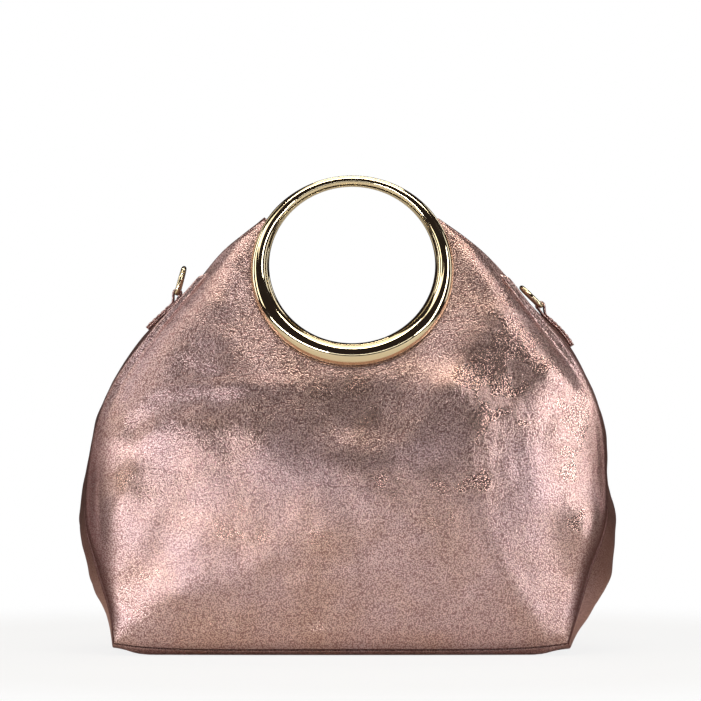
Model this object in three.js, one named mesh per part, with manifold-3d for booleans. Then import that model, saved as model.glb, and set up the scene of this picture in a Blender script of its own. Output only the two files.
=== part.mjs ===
// A soft leather handbag with a metal ring handle set in each panel.
// The front and back panels hang from their rings and are sewn to two side gussets and a base,
// and a leather tab on each shoulder carries a D-ring for a strap.
// Millimetres, +Z up, the front faces -Y, origin on the floor under the middle of the bag.

import * as THREE from "three";
import { mergeVertices } from "three/addons/utils/BufferGeometryUtils.js";
import Module from "manifold-3d";

const wasm = await Module();
wasm.setup();

// Driving dimensions
const LEATHER = 1.8; // thickness of every leather wall
const GAP = 0.3; // clearance between pieces that meet
const SEAM_INSET = 0.2; // each wall stops this far short of the seam line

// Ring handle: a round bar bent to a circle, thick at the bottom and slim at the grip.
// Its plane leans back, so that the two rings meet over the mouth.
const RING = {
  across: 2.8, // the ring's centre, to the right of the middle
  up: 230.6,
  forward: 23.2,
  lean: THREE.MathUtils.degToRad(19.6),
  radius: 55.8, // of the bar's centre line
  bar: 5.2, // the bar's radius at the sides
  taper: 1.95, // added at the bottom, taken off at the top
  grooveDepth: 2.2, // slot in the rim that takes the edge of the leather
  leatherFrom: THREE.MathUtils.degToRad(147), // the leather leaves the top of the ring free
  leatherTo: THREE.MathUtils.degToRad(393),
};

// The panel's edge, a row for each section from its tip beside the ring down to the bottom corner.
// up: height; left, right: distance from the middle; gap: half the distance between front and back
// edges; roll: how far the leather has turned towards the back; belly: how far the panel swells
// between ring and edge; outL, outR: how far the gussets bulge out between their seams.
const EDGE = [
  { at: "tip", up: 261, left: 50, right: 55.2, gap: 13.3, roll: 0.2, belly: 0, outL: 0, outR: 0 },
  { at: "mouth", up: 243, left: 73.5, right: 79.5, gap: 15.5, roll: 0.5, belly: 0.5, outL: 0.5, outR: 0.5 },
  { at: "gusset", up: 223.5, left: 90, right: 98, gap: 18, roll: 0.6, belly: 1, outL: 0.5, outR: 0.5 },
  { at: "tab head", up: 206, left: 104.5, right: 111, gap: 21, roll: 0.65, belly: 2, outL: 1.5, outR: 1.5 },
  { at: "tab foot", up: 186, left: 122.5, right: 129, gap: 24.5, roll: 0.65, belly: 2.5, outL: 3, outR: 3 },
  { at: "haunch", up: 161, left: 140.5, right: 144, gap: 28.5, roll: 0.65, belly: 3, outL: 1.5, outR: 2 },
  { at: "flank", up: 135, left: 150.5, right: 152.5, gap: 33, roll: 0.65, belly: 3.5, outL: 1.5, outR: 2.5 },
  { at: "waist", up: 107, left: 155, right: 154, gap: 38, roll: 0.65, belly: 4, outL: 2.5, outR: 2.5 },
  { at: "belly", up: 78, left: 156, right: 154, gap: 43.5, roll: 0.6, belly: 4.5, outL: 6, outR: 8 },
  { at: "thigh", up: 50, left: 148.5, right: 144, gap: 48.5, roll: 0.5, belly: 5, outL: 8.5, outR: 16 },
  { at: "shin", up: 25, left: 141, right: 136.5, gap: 52, roll: 0.4, belly: 5.5, outL: 5.5, outR: 10.5 },
  { at: "corner", up: 7, left: 139, right: 131, gap: 54, roll: 0.35, belly: 6, outL: 2, outR: 3 },
];
const GUSSET_TOP = 2; // the row where the gusset ends and the open mouth begins
const BOTTOM = { up: 3, gap: 57, roll: 0.2, belly: 8 }; // middle of the seam between panel and base
const SIDE_FOOT = 2; // height of the seam between gusset and base, in the middle of the side
const MIDDLE_UP = 110; // height of the point that the edges are seen from as outward
const FULLNESS = { atRing: 0.95, atEdge: 0.5 }; // how slowly the leather turns at ring and edge
const BELLY_AT = 1 / 3; // share of the way from ring to edge where the panel swells most

// Main folds of a panel: centre, direction in degrees from +X, half length, half width, height.
const FOLDS = [
  { at: "hollow under the ring", x: 5, up: 158, turn: 0, long: 33, wide: 33, high: -7.5 },
  { at: "brow across the panel", x: 20, up: 173, turn: -10, long: 190, wide: 25, high: 1.5 },
  { at: "dimple at right shoulder", x: 84, up: 166, turn: -20, long: 20, wide: 16, high: -3 },
  { at: "ridge by the dimple", x: 58, up: 160, turn: -10, long: 15, wide: 10, high: 3 },
  { at: "roll at right haunch", x: 130, up: 162, turn: -45, long: 25, wide: 9, high: 3 },
  { at: "ridge to right corner", x: 103, up: 29, turn: -60, long: 50, wide: 10, high: 2 },
  { at: "right half of the belly", x: 43, up: 29, turn: -20, long: 70, wide: 65, high: 2 },
  { at: "left half of the belly", x: -44, up: 46, turn: 40, long: 65, wide: 27, high: 1.5 },
  { at: "ridge to left corner", x: -89, up: 41, turn: 25, long: 40, wide: 12, high: 1 },
  { at: "slack at left thigh", x: -116, up: 57, turn: 55, long: 56, wide: 12, high: -2 },
  { at: "hollow at left shoulder", x: -88, up: 160, turn: 65, long: 22, wide: 19, high: -2.5 },
];
// Folds die out towards the ring and the seam, over these shares of the way between them.
const FOLDS_FROM_RING = 0.25;
const FOLDS_FROM_SEAM = 0.12;

// Strap tabs and D-rings
// A tab's low and high ends are places along the edge table.
const TAB = {
  width: 15,
  thick: 3,
  eyeWall: 1.7,
  left: { low: 3.75, high: 2.65 },
  right: { low: 4.2, high: 3.1 },
};
const D_RING = { wire: 1.5, halfBar: 7, corner: 2.5, leg: 3.5, sides: 8 };
const D_RING_POINTS_TO = {
  left: THREE.MathUtils.degToRad(75), // stands up
  right: THREE.MathUtils.degToRad(136), // lies along the shoulder
};

const leatherMaterial = new THREE.MeshStandardMaterial({ color: 0xb98d7d, roughness: 0.4, metalness: 0.75 });
const goldMaterial = new THREE.MeshStandardMaterial({ color: 0xe0c07a, roughness: 0.08, metalness: 1 });

const vec = (x, y, z) => new THREE.Vector3(x, y, z);
const BACK = vec(0, 1, 0);
const UP = vec(0, 0, 1);

// A column of the edge table at any place between its rows, as a smooth curve through them.
function edgeValue(column, place) {
  const last = EDGE.length - 1;
  const row = Math.min(Math.floor(place), last - 1);
  const [before, from, to, after] = [row - 1, row, row + 1, row + 2].map(
    (i) => EDGE[THREE.MathUtils.clamp(i, 0, last)][column],
  );
  const t = place - row;
  const slopeFrom = (to - before) / 2;
  const slopeTo = (after - from) / 2;
  return hermite(from, slopeFrom, to, slopeTo, t);
}

function hermite(from, slopeFrom, to, slopeTo, t) {
  const t2 = t * t;
  const t3 = t2 * t;
  return (
    (2 * t3 - 3 * t2 + 1) * from +
    (t3 - 2 * t2 + t) * slopeFrom +
    (3 * t2 - 2 * t3) * to +
    (t3 - t2) * slopeTo
  );
}

function hermiteVector(from, slopeFrom, to, slopeTo, t) {
  const axis = (name) => hermite(from[name], slopeFrom[name], to[name], slopeTo[name], t);
  return vec(axis("x"), axis("y"), axis("z"));
}

// A point of the front panel's side edge. side is -1 on the left and 1 on the right.
function sideEdge(side, place) {
  const out = edgeValue(side < 0 ? "left" : "right", place);
  return vec(side * out, -edgeValue("gap", place), edgeValue("up", place));
}

// A point of the front panel's bottom edge, from the left corner at -1 to the right corner at 1.
function bottomEdge(share) {
  const corner = EDGE.at(-1);
  const x = THREE.MathUtils.lerp(-corner.left, corner.right, (share + 1) / 2);
  const gap = THREE.MathUtils.lerp(BOTTOM.gap, corner.gap, share ** 2);
  const up = THREE.MathUtils.lerp(BOTTOM.up, corner.up, share ** 6);
  return vec(x, -gap, up);
}

// From the panel's middle towards an edge point, in the front view.
const outward = (point) => vec(point.x, 0, point.z - MIDDLE_UP).normalize();

// The inner face of a seam lies this far from its outer face, so that both walls meet in a mitre.
function sideMitre(point, roll) {
  return outward(point).multiplyScalar(-LEATHER).addScaledVector(BACK, LEATHER * (1 - roll));
}

const bottomRoll = (share) => THREE.MathUtils.lerp(BOTTOM.roll, EDGE.at(-1).roll, share ** 4);
const bottomMitre = (share) =>
  vec(-Math.sign(share) * share ** 12, 1 - bottomRoll(share), 1).multiplyScalar(LEATHER);

// The front panel's edge all round: a point, how far it is rolled, the panel's belly, the mitre of
// a seam, and the ring's angle beside it. share runs from the left tip at 0 over the bottom
// corners to the right tip at 1.
const CORNERS = [0.36, 0.64];
function panelEdge(share) {
  const angle = THREE.MathUtils.lerp(RING.leatherFrom, RING.leatherTo, share);
  if (share >= CORNERS[0] && share <= CORNERS[1]) {
    const along = ((share - CORNERS[0]) / (CORNERS[1] - CORNERS[0])) * 2 - 1;
    const belly = THREE.MathUtils.lerp(BOTTOM.belly, EDGE.at(-1).belly, along ** 2);
    return { point: bottomEdge(along), roll: bottomRoll(along), belly, inward: bottomMitre(along), angle };
  }
  const side = Math.sign(share - CORNERS[0]);
  const place = ((side < 0 ? share : 1 - share) / CORNERS[0]) * (EDGE.length - 1);
  const point = sideEdge(side, place);
  const roll = edgeValue("roll", place);
  const inward = place < GUSSET_TOP ? null : sideMitre(point, roll);
  return { point, roll, belly: edgeValue("belly", place), inward, angle };
}

// The front ring's own directions: across, up in its plane, and out of its face.
const ringCentre = vec(RING.across, -RING.forward, RING.up);
const ringAcross = vec(1, 0, 0);
const ringUp = vec(0, Math.sin(RING.lean), Math.cos(RING.lean));
const ringOut = vec(0, -Math.cos(RING.lean), Math.sin(RING.lean));
const rimCentre = ringCentre.clone().addScaledVector(ringUp, -RING.taper);
const rimRadius = RING.radius + RING.bar;
const leatherRadius = rimRadius - RING.grooveDepth + GAP;

const ringRadial = (angle) =>
  ringAcross.clone().multiplyScalar(Math.cos(angle)).addScaledVector(ringUp, Math.sin(angle));

// How far the folds push the front panel out, away from its edges.
function foldHeight(point) {
  let total = 0;
  for (const fold of FOLDS) {
    const turn = THREE.MathUtils.degToRad(fold.turn);
    const [dx, dz] = [point.x - fold.x, point.z - fold.up];
    const along = (dx * Math.cos(turn) + dz * Math.sin(turn)) / fold.long;
    const off = (dz * Math.cos(turn) - dx * Math.sin(turn)) / fold.wide;
    total += fold.high * Math.exp(-along * along - off * off);
  }
  return total;
}

// The front panel's outer face: the leather leaves the ring in the ring's plane and swells towards
// its edge, where it rolls to the back. across runs along the edge, down from the ring to the edge.
function panelPoint(across, down) {
  const edge = panelEdge(across);
  const radial = ringRadial(edge.angle);
  const from = rimCentre
    .clone()
    .addScaledVector(radial, leatherRadius)
    .addScaledVector(ringOut, LEATHER / 2);
  const leaving = outward(edge.point)
    .multiplyScalar(1 - edge.roll)
    .addScaledVector(BACK, edge.roll)
    .normalize();
  const to = edge.point.clone().addScaledVector(leaving, -SEAM_INSET);
  const chord = from.distanceTo(to);
  const point = hermiteVector(
    from,
    radial.multiplyScalar(chord * FULLNESS.atRing),
    to,
    leaving.multiplyScalar(chord * FULLNESS.atEdge),
    down,
  );
  const falling = (2 * (1 - BELLY_AT)) / BELLY_AT;
  const swell = (down / BELLY_AT) ** 2 * ((1 - down) / (1 - BELLY_AT)) ** falling;
  const free = THREE.MathUtils.smoothstep(down, 0, FOLDS_FROM_RING)
    * THREE.MathUtils.smoothstep(1 - down, 0, FOLDS_FROM_SEAM);
  return point.addScaledVector(BACK, -edge.belly * swell - foldHeight(point) * free);
}

// The left or right gusset's outer face: up its seams by edge rows, across from front to back.
function gussetPoint(side, place, across) {
  const seam = sideEdge(side, place);
  const [a, b] = [sideEdge(side, Math.max(place - 0.01, 0)), sideEdge(side, place)];
  const along = b.sub(a).normalize();
  const out = vec(-along.z * side, 0, along.x * side);
  if (out.x * side < 0) out.negate();
  const swell = 1 - across * across;
  const corner = EDGE.length - 1;
  const foot = THREE.MathUtils.smoothstep(place, corner - 1, corner) ** 3;
  const drop = (EDGE.at(-1).up - SIDE_FOOT) * foot;
  const halfWidth = -seam.y - SEAM_INSET;
  return vec(seam.x, halfWidth * across, seam.z)
    .addScaledVector(out, edgeValue(side < 0 ? "outL" : "outR", place) * swell)
    .addScaledVector(UP, -drop * swell);
}

// The base's outer face: flat on the floor, its rim curling up to the seams.
const BASE_FLAT = 0.78; // share of the base, across and along, that lies flat
function basePoint(along, across) {
  const front = bottomEdge(along);
  const corner = EDGE.length - 1;
  const ends = [gussetPoint(-1, corner, across), gussetPoint(1, corner, across)];
  const x = THREE.MathUtils.lerp(ends[0].x + SEAM_INSET, ends[1].x - SEAM_INSET, (along + 1) / 2);
  const rim = Math.max(Math.abs(along), Math.abs(across));
  const curl = THREE.MathUtils.smoothstep(rim, BASE_FLAT, 1) ** 1.5;
  const end = along < 0 ? ends[0] : ends[1];
  const seamUp = Math.max(front.z * across ** 6, end.z * along ** 6);
  const halfWidth = -front.y - SEAM_INSET;
  return vec(x, halfWidth * across, seamUp * curl);
}

// Points of a face on a grid, and the inner grid one leather thickness inside it.
// atEdge gives the inner offset of a point on a seam, or null where the wall's normal is used.
function leatherWall(face, columns, rows, atEdge) {
  const inside = vec(0, 0, MIDDLE_UP);
  const outer = columns.map((u) => rows.map((v) => face(u, v)));
  const inner = outer.map((line, i) =>
    line.map((point, j) => {
      const offset = atEdge(i, j);
      if (offset) return point.clone().add(offset);
      const before = outer[Math.max(i - 1, 0)][j];
      const after = outer[Math.min(i + 1, columns.length - 1)][j];
      const above = line[Math.max(j - 1, 0)];
      const below = line[Math.min(j + 1, rows.length - 1)];
      const normal = after.clone().sub(before).cross(below.clone().sub(above)).normalize();
      if (normal.dot(inside.clone().sub(point)) < 0) normal.negate();
      return point.clone().addScaledVector(normal, LEATHER);
    }),
  );
  return closedGrid(outer, inner);
}

// Joins two grids of the same size into one closed body.
function closedGrid(outer, inner) {
  const [columns, rows] = [outer.length, outer[0].length];
  const at = (layer, i, j) => layer * columns * rows + i * rows + j;
  const faces = [];
  const quad = (a, b, c, d) => faces.push(a, b, c, a, c, d);
  for (let i = 0; i + 1 < columns; i++) {
    for (let j = 0; j + 1 < rows; j++) {
      quad(at(0, i, j), at(0, i + 1, j), at(0, i + 1, j + 1), at(0, i, j + 1));
      quad(at(1, i, j), at(1, i, j + 1), at(1, i + 1, j + 1), at(1, i + 1, j));
    }
    quad(at(0, i, 0), at(1, i, 0), at(1, i + 1, 0), at(0, i + 1, 0));
    quad(at(0, i + 1, rows - 1), at(1, i + 1, rows - 1), at(1, i, rows - 1), at(0, i, rows - 1));
  }
  for (let j = 0; j + 1 < rows; j++) {
    quad(at(0, 0, j + 1), at(1, 0, j + 1), at(1, 0, j), at(0, 0, j));
    quad(at(0, columns - 1, j), at(1, columns - 1, j), at(1, columns - 1, j + 1), at(0, columns - 1, j + 1));
  }
  return facingOut([...outer.flat(), ...inner.flat()], faces);
}

// A round bar along a closed path, its radius given at each point of the path.
function closedBar(path, radii, flatNormal, sides) {
  const points = [];
  path.forEach((centre, i) => {
    const next = path[(i + 1) % path.length];
    const before = path[(i + path.length - 1) % path.length];
    const sideways = next.clone().sub(before).cross(flatNormal).normalize();
    for (let k = 0; k < sides; k++) {
      const turn = (k / sides) * 2 * Math.PI;
      points.push(
        centre
          .clone()
          .addScaledVector(sideways, radii[i] * Math.cos(turn))
          .addScaledVector(flatNormal, radii[i] * Math.sin(turn)),
      );
    }
  });
  const at = (i, k) => (i % path.length) * sides + (k % sides);
  const faces = [];
  for (let i = 0; i < path.length; i++) {
    for (let k = 0; k < sides; k++) {
      faces.push(at(i, k), at(i + 1, k), at(i + 1, k + 1), at(i, k), at(i + 1, k + 1), at(i, k + 1));
    }
  }
  return facingOut(points, faces);
}

// A geometry of these points and triangles, turned so that its faces point out.
function facingOut(points, faces) {
  let volume = 0;
  for (let f = 0; f < faces.length; f += 3) {
    const [a, b, c] = [points[faces[f]], points[faces[f + 1]], points[faces[f + 2]]];
    volume += a.dot(b.clone().cross(c));
  }
  if (volume < 0) faces.reverse();
  const geometry = new THREE.BufferGeometry().setFromPoints(points);
  geometry.setIndex(faces);
  geometry.computeVertexNormals();
  return geometry;
}

function toSolid(geometry) {
  const bare = geometry.clone();
  bare.deleteAttribute("normal");
  bare.deleteAttribute("uv");
  const merged = mergeVertices(bare, 1e-3);
  return new wasm.Manifold(
    new wasm.Mesh({
      numProp: 3,
      vertProperties: new Float32Array(merged.attributes.position.array),
      triVerts: new Uint32Array(merged.index.array),
    }),
  );
}

function toGeometry(solid) {
  const mesh = solid.getMesh();
  const geometry = new THREE.BufferGeometry();
  geometry.setAttribute("position", new THREE.BufferAttribute(mesh.vertProperties, 3));
  geometry.setIndex(new THREE.BufferAttribute(mesh.triVerts, 1));
  geometry.computeVertexNormals();
  return geometry;
}

// Steps from one value to another, both included.
const steps = (from, to, count) =>
  Array.from({ length: count + 1 }, (_, i) => THREE.MathUtils.lerp(from, to, i / count));

// Where the walls are divided, the same on both sides of each seam.
const SIDE_STEP = 0.5; // of a row of the edge table
const ALONG_BASE = [-1, -0.93, -0.86, -0.78, -0.52, -0.26, 0, 0.26, 0.52, 0.78, 0.86, 0.93, 1];
const ACROSS_BASE = [-1, -0.9, -0.78, -0.4, 0, 0.4, 0.78, 0.9, 1];
const DOWN_PANEL = [0, 0.05, 0.16, 0.3, 0.45, 0.6, 0.74, 0.86, 0.94, 1];

// Front panel
function panelGeometry() {
  const rows = EDGE.length - 1;
  const side = steps(0, 1, rows / SIDE_STEP);
  const across = [
    ...side.map((share) => share * CORNERS[0]),
    ...ALONG_BASE.slice(1, -1).map((share) => THREE.MathUtils.lerp(...CORNERS, (share + 1) / 2)),
    ...side.map((share) => THREE.MathUtils.lerp(CORNERS[1], 1, share)),
  ];
  return leatherWall(panelPoint, across, DOWN_PANEL, (i, j) => {
    if (j === 0) return ringOut.clone().multiplyScalar(-LEATHER);
    if (j < DOWN_PANEL.length - 1) return null;
    return panelEdge(across[i]).inward;
  });
}

// The mitre between gusset and base along the foot of the side.
function footMitre(side, across) {
  const offset = bottomMitre(side);
  offset.y *= -(across ** 3);
  return offset;
}

// Side gusset
function gussetGeometry(side) {
  const corner = EDGE.length - 1;
  const up = steps(corner, GUSSET_TOP, (corner - GUSSET_TOP) / SIDE_STEP);
  const face = (place, share) => {
    const point = gussetPoint(side, place, share);
    return place === corner ? point.addScaledVector(UP, SEAM_INSET) : point;
  };
  return leatherWall(face, up, ACROSS_BASE, (i, j) => {
    if (i === 0) return footMitre(side, ACROSS_BASE[j]);
    if (j > 0 && j < ACROSS_BASE.length - 1) return null;
    const offset = sideMitre(sideEdge(side, up[i]), edgeValue("roll", up[i]));
    if (j > 0) offset.y = -offset.y;
    return offset;
  });
}

// Base
function baseGeometry() {
  return leatherWall(basePoint, ALONG_BASE, ACROSS_BASE, (i, j) => {
    if (Math.abs(ALONG_BASE[i]) === 1) return footMitre(ALONG_BASE[i], ACROSS_BASE[j]);
    if (Math.abs(ACROSS_BASE[j]) < 1) return UP.clone().multiplyScalar(LEATHER);
    const offset = bottomMitre(ALONG_BASE[i]);
    if (j > 0) offset.y = -offset.y;
    return offset;
  });
}

// Ring handle, with the slot for the leather's edge round its lower part.
const RING_STEPS = 44;
const RING_SIDES = 10;
const SLOT_SEGMENTS = 30;
const SLOT_END = THREE.MathUtils.degToRad(1.5); // the slot runs on this far past the leather
function ringGeometry() {
  const angles = steps(0, 2 * Math.PI, RING_STEPS).slice(0, -1);
  const path = angles.map((a) => ringCentre.clone().addScaledVector(ringRadial(a), RING.radius));
  const radii = angles.map((a) => RING.bar - RING.taper * Math.sin(a));
  const bar = closedBar(path, radii, ringOut, RING_SIDES);
  return toGeometry(toSolid(bar).subtract(toSolid(slotGeometry())));
}

function slotGeometry() {
  const outer = rimRadius + RING.bar;
  const inner = rimRadius - RING.grooveDepth;
  const width = LEATHER + 2 * GAP;
  const [from, to] = [RING.leatherFrom - SLOT_END, RING.leatherTo + SLOT_END];
  const sector = new THREE.Shape();
  sector.absarc(0, 0, outer, from, to, false);
  sector.absarc(0, 0, inner, to, from, true);
  const slot = new THREE.ExtrudeGeometry(sector, {
    depth: width,
    bevelEnabled: false,
    curveSegments: SLOT_SEGMENTS,
  });
  const frame = new THREE.Matrix4().makeBasis(ringAcross, ringUp, ringOut);
  frame.setPosition(rimCentre.clone().addScaledVector(ringOut, -width / 2));
  return slot.applyMatrix4(frame);
}

// The eye at the head of a tab, which the D-ring's bar turns in, set against the gusset.
const eyeHole = D_RING.wire + GAP;
const eyeOuter = eyeHole + TAB.eyeWall;
function shoulder(side, place, height) {
  const [foot, head] = [gussetPoint(side, place + 0.05, 0), gussetPoint(side, place - 0.05, 0)];
  const uphill = head.sub(foot).normalize();
  const out = vec(-uphill.z, 0, uphill.x);
  if (out.x * side < 0) out.negate();
  return gussetPoint(side, place, 0).addScaledVector(out, height);
}
const tabEnds = (side) => (side < 0 ? TAB.left : TAB.right);
const eyeCentre = (side) => shoulder(side, tabEnds(side).high, GAP + eyeOuter);

// Strap tab: a doubled leather strip along the gusset, ending in an eye.
const EYE_SEGMENTS = 12;
const TAB_STEPS = 5;
function tabGeometry(side) {
  const flat = (p) => new THREE.Vector2(p.x, p.z);
  const places = steps(tabEnds(side).low, tabEnds(side).high, TAB_STEPS);
  const under = places.map((place) => flat(shoulder(side, place, GAP)));
  const over = places.map((place) => flat(shoulder(side, place, GAP + TAB.thick)));
  const strip = new THREE.Shape([...under, ...over.reverse()]);
  const centre = flat(eyeCentre(side));
  const eye = new THREE.Shape().absarc(centre.x, centre.y, eyeOuter, 0, 2 * Math.PI);
  const hole = new THREE.Shape().absarc(centre.x, centre.y, eyeHole, 0, 2 * Math.PI);
  const [stripSolid, eyeSolid, holeSolid] = [strip, eye, hole].map((shape) =>
    toSolid(standingExtrusion(shape, TAB.width)),
  );
  return toGeometry(stripSolid.add(eyeSolid).subtract(holeSolid));
}

// A shape drawn in X and Z, given a width along Y.
function standingExtrusion(shape, width) {
  const geometry = new THREE.ExtrudeGeometry(shape, {
    depth: width,
    bevelEnabled: false,
    curveSegments: EYE_SEGMENTS,
  });
  geometry.rotateX(Math.PI / 2);
  return geometry.translate(0, width / 2, 0);
}

// D-ring: a bar through the eye, two rounded corners, two legs and an arch, in the Y direction and
// away from the bar.
const ARCH_STEPS = 10;
const CORNER_STEPS = 3;
function dRingGeometry(side) {
  const halfWidth = D_RING.halfBar + D_RING.corner;
  const archFrom = D_RING.corner + D_RING.leg;
  const half = [[0, 0], [D_RING.halfBar, 0]];
  for (const turn of steps(0, Math.PI / 2, CORNER_STEPS).slice(1)) {
    half.push([
      D_RING.halfBar + D_RING.corner * Math.sin(turn),
      D_RING.corner * (1 - Math.cos(turn)),
    ]);
  }
  for (const turn of steps(0, Math.PI / 2, ARCH_STEPS / 2)) {
    half.push([halfWidth * Math.cos(turn), archFrom + halfWidth * Math.sin(turn)]);
  }
  const outline = [...half, ...half.slice(1, -1).reverse().map(([y, r]) => [-y, r])];
  const pointing = D_RING_POINTS_TO[side < 0 ? "left" : "right"];
  const reach = vec(Math.cos(pointing), 0, Math.sin(pointing));
  const path = outline.map(([y, r]) =>
    eyeCentre(side).addScaledVector(BACK, y).addScaledVector(reach, r),
  );
  const radii = path.map(() => D_RING.wire);
  return closedBar(path, radii, reach.clone().cross(BACK), D_RING.sides);
}

// Assembly
const bag = new THREE.Group();
function add(name, geometry, material, parent = bag) {
  const mesh = new THREE.Mesh(geometry, material);
  mesh.name = name;
  parent.add(mesh);
}

const backHalf = new THREE.Group(); // the back is the front, seen in a mirror along Y
backHalf.scale.y = -1;
bag.add(backHalf);

add("front_panel", panelGeometry(), leatherMaterial);
add("back_panel", panelGeometry(), leatherMaterial, backHalf);
add("handle_ring_front", ringGeometry(), goldMaterial);
add("handle_ring_back", ringGeometry(), goldMaterial, backHalf);
add("base_panel", baseGeometry(), leatherMaterial);
for (const [word, side] of [["left", -1], ["right", 1]]) {
  add(`gusset_${word}`, gussetGeometry(side), leatherMaterial);
  add(`strap_tab_${word}`, tabGeometry(side), leatherMaterial);
  add(`d_ring_${word}`, dRingGeometry(side), goldMaterial);
}

export default bag;
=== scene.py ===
import math

import bpy
import numpy as np
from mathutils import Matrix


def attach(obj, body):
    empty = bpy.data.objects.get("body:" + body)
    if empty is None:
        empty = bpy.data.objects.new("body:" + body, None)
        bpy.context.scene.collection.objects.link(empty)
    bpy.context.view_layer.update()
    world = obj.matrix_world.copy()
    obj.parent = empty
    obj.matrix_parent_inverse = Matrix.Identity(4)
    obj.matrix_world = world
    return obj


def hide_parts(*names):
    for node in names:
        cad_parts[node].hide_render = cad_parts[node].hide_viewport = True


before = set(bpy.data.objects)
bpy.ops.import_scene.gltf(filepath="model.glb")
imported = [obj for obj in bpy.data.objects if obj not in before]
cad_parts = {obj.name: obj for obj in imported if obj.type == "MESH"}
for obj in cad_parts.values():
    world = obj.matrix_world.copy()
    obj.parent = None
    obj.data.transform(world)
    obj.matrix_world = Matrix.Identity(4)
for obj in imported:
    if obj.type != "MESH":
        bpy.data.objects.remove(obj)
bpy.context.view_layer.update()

# The picture: a level camera well in front of the bag, so that its outline is hardly foreshortened.
# It looks along +Y at a frame 421 mm wide, a little in front of the bag's middle.
FRAME_WIDTH = 0.4206
FRAME_X, FRAME_Y, FRAME_UP = 0.0018, -0.020, 0.1808
CAMERA_DISTANCE = 2.5
SENSOR = 36.0

picture = bpy.data.cameras.new("picture_camera")
picture.sensor_width = SENSOR
picture.lens = SENSOR * CAMERA_DISTANCE / FRAME_WIDTH
camera = bpy.data.objects.new("picture_camera", picture)
camera.location = (FRAME_X, FRAME_Y - CAMERA_DISTANCE, FRAME_UP)
camera.rotation_euler = (math.pi / 2, 0, 0)
bpy.context.scene.collection.objects.link(camera)
bpy.context.scene.camera = camera
bpy.context.scene.view_settings.view_transform = "Standard"


# The studio: a pale floor that fades into white surroundings. Soft boxes hang above and stand tall at both
# sides, slim strips of light lie across in front of the bag, and some boxes are repeated behind it.
def wire(tree, kind, feeds, **settings):
    """One shader node with its settings; feeds gives each input a value or another node's output."""
    made = tree.nodes.new(kind)
    for key, value in settings.items():
        setattr(made, key, value)
    for key, value in feeds.items():
        if isinstance(value, bpy.types.NodeSocket):
            tree.links.new(value, made.inputs[key])
        else:
            made.inputs[key].default_value = value
    return made


SURROUND_SEEN = (1.0, 1.0, 1.0, 1)
SURROUND_REFLECTED = (0.02, 0.015, 0.015, 1)
world = bpy.data.worlds.new("studio")
world.use_nodes = True
bpy.context.scene.world = world
world.node_tree.nodes.clear()
seen = wire(world.node_tree, "ShaderNodeBackground", {"Color": SURROUND_SEEN})
reflected = wire(world.node_tree, "ShaderNodeBackground", {"Color": SURROUND_REFLECTED})
in_picture = wire(world.node_tree, "ShaderNodeLightPath", {}).outputs["Is Camera Ray"]
mixed = wire(world.node_tree, "ShaderNodeMixShader", {
    0: in_picture, 1: reflected.outputs[0], 2: seen.outputs[0]})
wire(world.node_tree, "ShaderNodeOutputWorld", {"Surface": mixed.outputs[0]})

WARM, WHITE = (1.0, 0.93, 0.82), (0.97, 0.97, 1.0)
# direction in degrees, right of the front and up, width and height in degrees as seen from the bag,
# radiance in front and behind, and colour
SOFT_BOXES = {
    "above": (0, 88, 34, 30, 1.4, 0.0, WARM),
    "above_front": (8, 68, 34, 6, 12.5, 9.0, WARM),
    "left_strip": (-33, 5, 44, 3.5, 18.5, 0.0, WHITE),
    "strip": (11, 4, 44, 2.5, 3.0, 0.0, WHITE),
    "right_strip": (43, 5, 16, 3.5, 17.0, 0.0, WHITE),
    "left_tall": (-62, 34, 10, 44, 2.4, 0.8, WARM),
    "left_high": (-38, 54, 26, 10, 2.0, 0.0, WARM),
    "right_tall": (50, 26, 8, 44, 7.4, 2.0, WHITE),
    "left_side": (-92, 26, 10, 44, 2.5, 0.0, WHITE),
    "right_side": (88, 26, 10, 44, 1.2, 0.0, WHITE),
}
BOX_CENTRE = np.array([0, -0.04, 0.12])
BOX_DISTANCE = 1.4
for word, (across, up, wide, high, in_front, behind, colour) in SOFT_BOXES.items():
    for end, turn, radiance in (("front", 1, in_front), ("back", -1, behind)):
        if radiance == 0:
            continue
        az, el = math.radians(across), math.radians(up)
        away = np.array([math.sin(az) * math.cos(el), -turn * math.cos(az) * math.cos(el), math.sin(el)])
        box = bpy.data.lights.new(f"{word}_{end}", "AREA")
        box.shape = "RECTANGLE"
        box.size = 2 * BOX_DISTANCE * math.tan(math.radians(wide / 2))
        box.size_y = 2 * BOX_DISTANCE * math.tan(math.radians(high / 2))
        box.energy = radiance * math.pi * box.size * box.size_y
        box.color = colour
        lamp = bpy.data.objects.new(box.name, box)
        lamp.location = BOX_CENTRE * (1, turn, 1) + BOX_DISTANCE * away
        lamp.rotation_euler = (math.pi / 2 - el, 0, math.atan2(away[0], -away[1]))
        lamp.visible_camera = False
        bpy.context.scene.collection.objects.link(lamp)

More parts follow.
